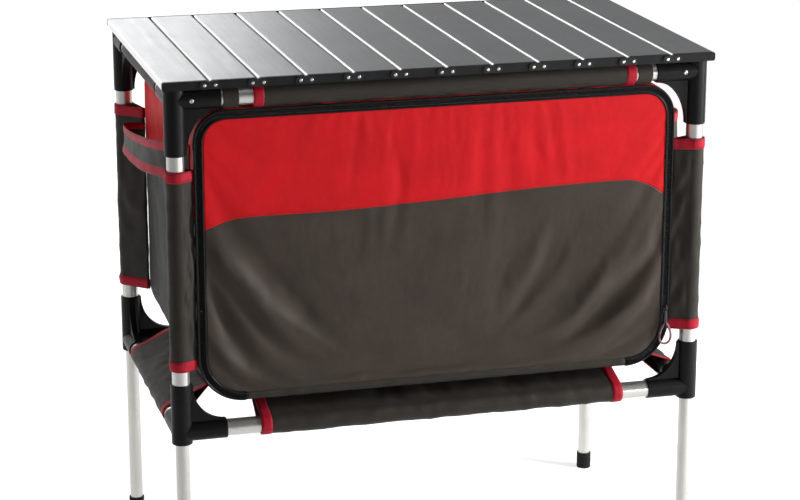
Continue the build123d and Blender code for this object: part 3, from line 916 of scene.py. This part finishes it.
def sleeve(name, axis, centre, target, span, seed, sag=0.0, bound=True):
    """Cloth sleeve on one tube, with its web and, when bound, two crimson bindings.

    axis is the tube's, and centre and target are in the two other axes. Under
    the top a sleeve fits tightly, so that the slats clear it when they roll up.
    """
    centre = np.array(centre, float)
    target = np.array(target, float)
    under_top = axis != 2 and centre[1] > LOW_RAIL_Z + 0.1
    radius = TIGHT_SLEEVE_R if under_top else SLEEVE_R
    loose = 0.0 if under_top else 1.0
    points, normals, out = section(centre, target, radius, 0.0016)
    reach = (target - centre) / np.hypot(*(target - centre))
    aside = np.array([-reach[1], reach[0]])
    girth = running(points)
    others = [k for k in range(3) if k != axis]

    def surface(stations, grow):
        cells = np.zeros((len(stations), len(points), 3))
        uv = np.zeros((len(stations), len(points), 2))
        length = span[1] - span[0]
        for i, s in enumerate(stations):
            f = (s - span[0]) / length
            middle_part = np.sin(pi * np.clip(f, 0, 1))
            at = np.full(len(points), s)
            web = 0.0020 * waves(at, out * 0.05, seed, 0.05, 0.2)
            web = web + 0.0012 * waves(at, out * 0.05, seed + 1, 0.02, 0.06)
            web = web * np.sin(pi * np.clip(out, 0, 1)) ** 0.5 * (0.35 + 0.65 * middle_part)
            snug = 0.00035 * waves(at, girth, seed + 2, 0.02, 0.09)
            snug = snug + 0.0011 * creases(at, girth * 0.6, seed + 3, 0.05, 0.16) * (out < 0.02)
            snug = snug * loose
            flat = points + normals * (snug[:, None] + grow)
            flat = flat + aside * web[:, None]
            flat[:, 1] -= sag * out * middle_part
            cells[i][:, others[0]] = flat[:, 0]
            cells[i][:, others[1]] = flat[:, 1]
            cells[i][:, axis] = s
            uv[i] = np.stack([np.full(len(points), s), girth], -1)
        return cells, uv

    stations = np.linspace(span[0] + 0.001, span[1] - 0.001, max(24, int((span[1] - span[0]) / 0.006)))
    cells, uv = surface(stations, 0.0)
    cloth = dress(grid_object(f"tube_sleeves_cloth_{name}", cells, uv), "dark")
    thicken(cloth, SLEEVE_CLOTH)
    bands = []
    ends = ((span[0], span[0] + BINDING), (span[1] - BINDING, span[1]))
    for end, (low, high) in enumerate(ends if bound else ()):
        rounded = np.array([-0.0002, 0.0006, 0.0008, 0.0008, 0.0006, -0.0002])
        rounded = rounded * (0.5 if under_top else 1.0)
        places = np.array([low, low + 0.0004, low + 0.004, high - 0.004, high - 0.0004, high])
        rows = np.array([surface([s], grow)[0][0] for s, grow in zip(places, rounded)])
        strip_uv = uv_grid(girth, (places - low) / BINDING).swapaxes(0, 1)
        band = grid_object(f"tube_sleeves_binding_{name}_{end + 1}", rows, strip_uv)
        dress(band, "binding")
        thicken(band, TIGHT_BINDING_CLOTH if under_top else SLEEVE_CLOTH, 1.0)
        bands.append(band)
    for piece in (cloth, *bands):
        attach(piece, "frame")
    return cloth


def bag_y(side, inset):
    """Y on the bag, at an inset from its front or back edge."""
    return BAG_FRONT + inset if side < 0 else BAG_BACK - inset


def bag_x(hand, inset):
    """X on the bag, at an inset from its left or right side."""
    return float(fit(hand * (BAG_HALF - inset)))


# spans of the sleeves along the posts and rails, and where their webs are sewn on
POST_SPAN = (0.392, 0.684)
UPPER_SPAN = (-0.276, 0.290)
LOOP_SPANS = ((-0.3205, -0.2960), (0.2915, 0.3160))
LOWER_SPAN = (-0.272, 0.280)
SIDE_SPAN = (-0.145, 0.145)
SEAM_INSET = 0.003
ROOF_SEAM_Z = BAG_HIGH + 0.0015
FLOOR_SEAM_Z = BAG_LOW - 0.002
label = 0
first_sleeve = None
for hand in (-1, 1):
    for side in (-1, 1):
        label += 1
        centre = (hand * POST_X, side * POST_Y)
        target = (bag_x(hand, -0.001), bag_y(side, SEAM_INSET))
        made = sleeve(f"{label:02d}", 2, centre, target, POST_SPAN, 100 + 7 * label)
        first_sleeve = first_sleeve or made
for side in (-1, 1):
    label += 1
    centre = (side * POST_Y, TOP_RAIL_Z)
    target = (bag_y(side, SEAM_INSET), ROOF_SEAM_Z)
    sleeve(f"{label:02d}", 0, centre, target, UPPER_SPAN, 200 + 7 * label)
    label += 1
    centre = (side * POST_Y, LOW_RAIL_Z)
    target = (bag_y(side, 0.090), FLOOR_SEAM_Z)
    sleeve(f"{label:02d}", 0, centre, target, LOWER_SPAN, 200 + 7 * label, sag=0.004)
for side in (-1, 1):
    centre = (side * POST_Y, TOP_RAIL_Z)
    target = (bag_y(side, SEAM_INSET), ROOF_SEAM_Z)
    for span in LOOP_SPANS:
        label += 1
        sleeve(f"{label:02d}", 0, centre, target, span, 400 + 7 * label, bound=False)
for hand in (-1, 1):
    for rail_z, inset, height, sag in (
        (TOP_RAIL_Z, SEAM_INSET, ROOF_SEAM_Z, 0.0),
        (LOW_RAIL_Z, 0.030, FLOOR_SEAM_Z, 0.003),
    ):
        label += 1
        centre = (hand * POST_X, rail_z)
        target = (bag_x(hand, inset), height)
        sleeve(f"{label:02d}", 1, centre, target, SIDE_SPAN, 300 + 7 * label, sag=sag)
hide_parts("tube_sleeves")

# ---- the straps
STRAP_LINE = (
    # x for the left side, y, lower edge, upper edge
    (-0.3636, 0.178, 0.626, 0.661),
    (-0.374, 0.179, 0.625, 0.663),
    (-0.39, 0.172, 0.625, 0.665),
    (-0.4, 0.15, 0.627, 0.668),
    (-0.4045, 0.11, 0.631, 0.673),
    (-0.407, 0.05, 0.637, 0.681),
    (-0.407, -0.02, 0.643, 0.691),
    (-0.402, -0.09, 0.65, 0.701),
    (-0.389, -0.15, 0.656, 0.71),
    (-0.373, -0.19, 0.661, 0.715),
    (-0.3637, -0.207, 0.663, 0.717),
)


def smooth_line(points, amount):
    """Points along a smooth curve through the given ones."""
    points = np.asarray(points, float)
    place = np.linspace(0, len(points) - 1, amount)
    made = []
    for p in place:
        k = min(int(p), len(points) - 2)
        t = p - k
        a, b = points[k], points[k + 1]
        before = points[k - 1] if k > 0 else 2 * a - b
        after = points[k + 2] if k + 2 < len(points) else 2 * b - a
        made.append(0.5 * (
            2 * a + (b - before) * t + (2 * before - 5 * a + 4 * b - after) * t ** 2
            + (3 * a - before - 3 * b + after) * t ** 3
        ))
    return np.array(made)


for hand_name, hand in HANDS.items():
    knots = np.array(STRAP_LINE)
    if hand > 0:
        knots[[0, -1], 0] += BAG_HALF - BAG_RIGHT
        knots[[1, -2], 0] += 0.5 * (BAG_HALF - BAG_RIGHT)
    line = smooth_line(knots, 110)
    steps = running(line[:, :2])
    tangent = np.gradient(line[:, :2], axis=0)
    tangent /= np.linalg.norm(tangent, axis=1, keepdims=True)
    away = np.stack([tangent[:, 1], -tangent[:, 0]], -1)
    free = np.sin(pi * np.clip(steps / steps[-1], 0, 1)) ** 0.5

    def strap_grid(fractions, grow):
        """Strap surface at fractions of its height, pushed out a little."""
        cells = np.zeros((len(line), len(fractions), 3))
        uv = np.zeros((len(line), len(fractions), 2))
        for j, f in enumerate(fractions):
            height = line[:, 2] + (line[:, 3] - line[:, 2]) * f
            out = free * (0.003 * (1 - f) - 0.0024 * sin(pi * f))
            out = out + free * 0.0007 * waves(steps, height, 400 + (hand > 0), 0.03, 0.12) + grow[j]
            flat = line[:, :2] + away * out[:, None]
            cells[:, j] = np.stack([-hand * flat[:, 0], flat[:, 1], height], -1)
            uv[:, j] = np.stack([steps, height], -1)
        return cells, uv

    cells, uv = strap_grid(np.linspace(0.02, 0.98, 12), np.zeros(12))
    strap = dress(grid_object(f"side_strap_{hand_name}", cells, uv), "dark")
    thicken(strap, STRAP_CLOTH)
    bands = []
    for edge, (low, high) in (("low", (0.0, 0.30)), ("high", (0.70, 1.0))):
        grown = np.array([0.0, 0.0011, 0.0012, 0.0012, 0.0011, 0.0])
        cells, _ = strap_grid(np.linspace(low, high, 6), grown)
        inner, _ = strap_grid(np.linspace(high, low, 6), -grown)
        loop = np.concatenate([cells, inner], axis=1)
        band_uv = np.zeros((len(line), 13, 2))
        band_uv[:, :, 0] = steps[:, None]
        band_uv[:, :, 1] = np.concatenate([np.linspace(0, 1, 6), np.linspace(1, 0, 6), [0]])
        band = grid_object(f"side_strap_binding_{edge}_{hand_name}", loop, band_uv, around=True)
        dress(band, "binding")
        bands.append(band)
    for piece in (strap, *bands):
        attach(piece, "frame")
    if hand < 0:
        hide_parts("side_straps")

# ---- zip slider and pull
SLIDER_X = BAG_RIGHT - 0.006
SLIDER_Y = BAG_FRONT - 0.0034
SLIDER_Z = 0.424
PIN_Y = SLIDER_Y - 0.0045
PIN_Z = SLIDER_Z + 0.0042


def plate(name, outline_xz, y_back, y_front, rounding, centre):
    """Plate with a rounded rim, its outline given around a centre in XZ."""
    ring = np.asarray(outline_xz, float)
    depth = y_front - y_back
    rim = 1 - rounding
    shoulder = 1 - rounding * 0.3
    profile = ((0.0, rim), (0.12, shoulder), (0.3, 1.0), (0.7, 1.0), (0.88, shoulder), (1.0, rim))
    rows = [np.zeros_like(ring)] + [ring * scale for _, scale in profile] + [np.zeros_like(ring)]
    ys = [y_back] + [y_back + depth * d for d, _ in profile] + [y_front]
    points = np.array([upright(np.asarray(centre) + row, y) for row, y in zip(rows, ys)])
    uv = uv_grid(np.arange(len(rows)) * 0.001, np.arange(len(ring) + 1) * 0.001)
    return grid_object(name, points, uv, around=True)


def blunt(values, power):
    """Sine values pushed out towards -1 and 1, for a rounded rectangle."""
    return np.sign(values) * np.abs(values) ** power


turn = np.linspace(0, 2 * pi, 40, endpoint=False)
wide, tall = np.cos(turn), np.sin(turn)
wasp = np.stack([(0.0036 + 0.0006 * tall) * blunt(wide, 0.55), 0.0068 * blunt(tall, 0.6)], -1)
slider_body = plate("zip_slider_body", wasp, SLIDER_Y, SLIDER_Y - 0.0026, 0.16, (SLIDER_X, SLIDER_Z))
dress(slider_body, "slider")
bridge_path = [
    (SLIDER_X, SLIDER_Y - 0.0020, SLIDER_Z - 0.0028),
    (SLIDER_X, SLIDER_Y - 0.0040, SLIDER_Z - 0.0014),
    (SLIDER_X, SLIDER_Y - 0.0063, SLIDER_Z + 0.0018),
    (SLIDER_X, SLIDER_Y - 0.0066, SLIDER_Z + 0.0040),
    (SLIDER_X, SLIDER_Y - 0.0060, SLIDER_Z + 0.0058),
    (SLIDER_X, SLIDER_Y - 0.0020, SLIDER_Z + 0.0064),
]
bridge = dress(rod("zip_slider_bridge", smooth_line(bridge_path, 22), 0.0009, sides=10), "slider")
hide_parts("zip_slider")
for piece in (slider_body, bridge):
    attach(piece, "slider")

eye_turn = np.linspace(0, 2 * pi, 24, endpoint=False)
eye_path = np.stack([
    SLIDER_X + 0.0021 * np.cos(eye_turn),
    np.full(len(eye_turn), PIN_Y),
    PIN_Z - 0.0030 + 0.0036 * np.sin(eye_turn),
], -1)
pull_eye = dress(rod("zip_pull_eye", eye_path, 0.0007, closed=True), "slider")
blade = np.stack([0.0024 * blunt(wide, 0.5) * (1 - 0.18 * tall), 0.0108 * blunt(tall, 0.55)], -1)
pull_tab = plate("zip_pull_tab", blade, PIN_Y + 0.0008, PIN_Y - 0.0008, 0.2, (SLIDER_X, PIN_Z - 0.0168))
dress(pull_tab, "slider")


def finger_loop(name, half, drop, radius, y):
    """Closed loop of smoky tubing that hangs from the pull tab."""
    a = np.linspace(0, 2 * pi, 48, endpoint=False)
    wide = half * np.sin(a) * (1 + 0.35 * np.cos(a))
    down = -drop / 2 - drop / 2 * np.cos(a)
    path = np.stack([SLIDER_X + wide, y + 0.0004 * np.sin(a), PIN_Z - 0.0245 + down], -1)
    return rod(name, path[::-1], radius, closed=True, sides=12)


loop = dress(finger_loop("zip_pull_loop", 0.0088, 0.0320, 0.0017, PIN_Y), "loop")
grip = lathe(
    "zip_pull_grip",
    [(0.0, 0.0010), (0.0006, 0.0019), (0.0020, 0.0023), (0.0062, 0.0023), (0.0076, 0.0019), (0.0082, 0.0010)],
    (SLIDER_X, PIN_Y, PIN_Z - 0.0232), (0, 0, -1), 20,
)
dress(grip, "piping")
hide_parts("zip_pull")
for piece in (pull_eye, pull_tab, loop, grip):
    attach(piece, "pull")

# ---- studio, lights and camera
floor_points = []
floor_uv = []
sweep = [(-6.0, 0.0), (2.8, 0.0)]
sweep += [(2.8 + 0.9 * sin(t), 0.9 - 0.9 * cos(t)) for t in np.linspace(0.12, pi / 2, 12)]
for y, z in sweep:
    floor_points.append([(-7.0, y, z), (7.0, y, z)])
    floor_uv.append([(0.0, y), (1.0, y)])
floor = grid_object("studio_floor", np.array(floor_points), np.array(floor_uv))
paper = Shader("studio_paper")
paper_tone = paper.noise(paper.coordinates("Object"), 1.2, 2.0)
paper_colour = paper.mix(paper_tone, (0.93, 0.93, 0.93, 1.0), (0.96, 0.96, 0.96, 1.0))
# the paper glows, more strongly towards the back: painted light that keeps the far sweep white where the
# lamps fall off
depth = paper.split(paper.coordinates("Object"))[1]
glow = paper.range(depth, -0.6, 0.5, 0.20, 0.60, smooth=True)
white = (1.0, 1.0, 1.0, 1.0)
paper.finish(Base_Color=paper_colour, Roughness=0.9, Emission_Color=white, Emission_Strength=glow)
floor.data.materials.append(paper.material)

world = bpy.data.worlds.new("studio")
bpy.context.scene.world = world
world.use_nodes = True
sky = world.node_tree
background = sky.nodes["Background"]
background.inputs[0].default_value = (1.0, 1.0, 1.0, 1.0)
height = sky.nodes.new("ShaderNodeSeparateXYZ")
sky.links.new(sky.nodes.new("ShaderNodeTexCoord").outputs["Generated"], height.inputs[0])


def sky_range(value, *ends):
    """Map a coordinate of the sky from one range to another, clamped."""
    node = sky.nodes.new("ShaderNodeMapRange")
    for index, number in enumerate(ends):
        node.inputs[index + 1].default_value = number
    sky.links.new(value, node.inputs["Value"])
    return node.outputs[0]


# the sky darkens upwards, and it is darker on the viewer's side
fade = sky_range(height.outputs[2], 0.02, 0.22, 0.9, 0.14)
facing = sky_range(height.outputs[1], -0.9, 0.4, 0.5, 1.0)
product = sky.nodes.new("ShaderNodeMath")
product.operation = "MULTIPLY"
sky.links.new(fade, product.inputs[0])
sky.links.new(facing, product.inputs[1])
sky.links.new(product.outputs[0], background.inputs[1])
bpy.context.scene.view_settings.view_transform = "Standard"


def area_light(name, place, aim, size, power):
    """Rectangular softbox that looks at a point."""
    light = bpy.data.lights.new(name, "AREA")
    light.shape = "RECTANGLE"
    light.size, light.size_y = size
    light.energy = power
    lamp = add_object(name, light)
    lamp.location = place
    direction = np.array(aim) - np.array(place)
    lamp.rotation_euler = Vector(direction).to_track_quat("-Z", "Y").to_euler()


area_light("right_softbox", (2.2, -1.05, 1.1), (0.1, 0, 0.5), (0.5, 1.1), 84.0)
area_light("left_softbox", (-2.2, 0.5, 1.7), (-0.3, 0, 0.7), (0.9, 1.2), 10.0)
area_light("back_softbox", (-0.8, 2.5, 1.75), (-0.1, 0, 0.8), (2.4, 1.2), 28.0)
area_light("front_fill", (1.6, -2.8, 0.6), (0, 0, 0.4), (0.8, 0.5), 12.0)

# the photo's camera, solved from the corners of the frame and the slat joints
CAMERA_PLACE = (-0.9565, -3.4990, 1.5199)
CAMERA_LENS = 110.14
CAMERA_DOWN = 16.02
CAMERA_TURN = -15.27
camera = bpy.data.cameras.new("camera")
camera.lens = CAMERA_LENS
camera.sensor_width = 36.0
camera_object = add_object("camera", camera)
camera_object.location = CAMERA_PLACE
camera_object.rotation_euler = (radians(90 - CAMERA_DOWN), 0.0, radians(CAMERA_TURN))
bpy.context.scene.camera = camera_object
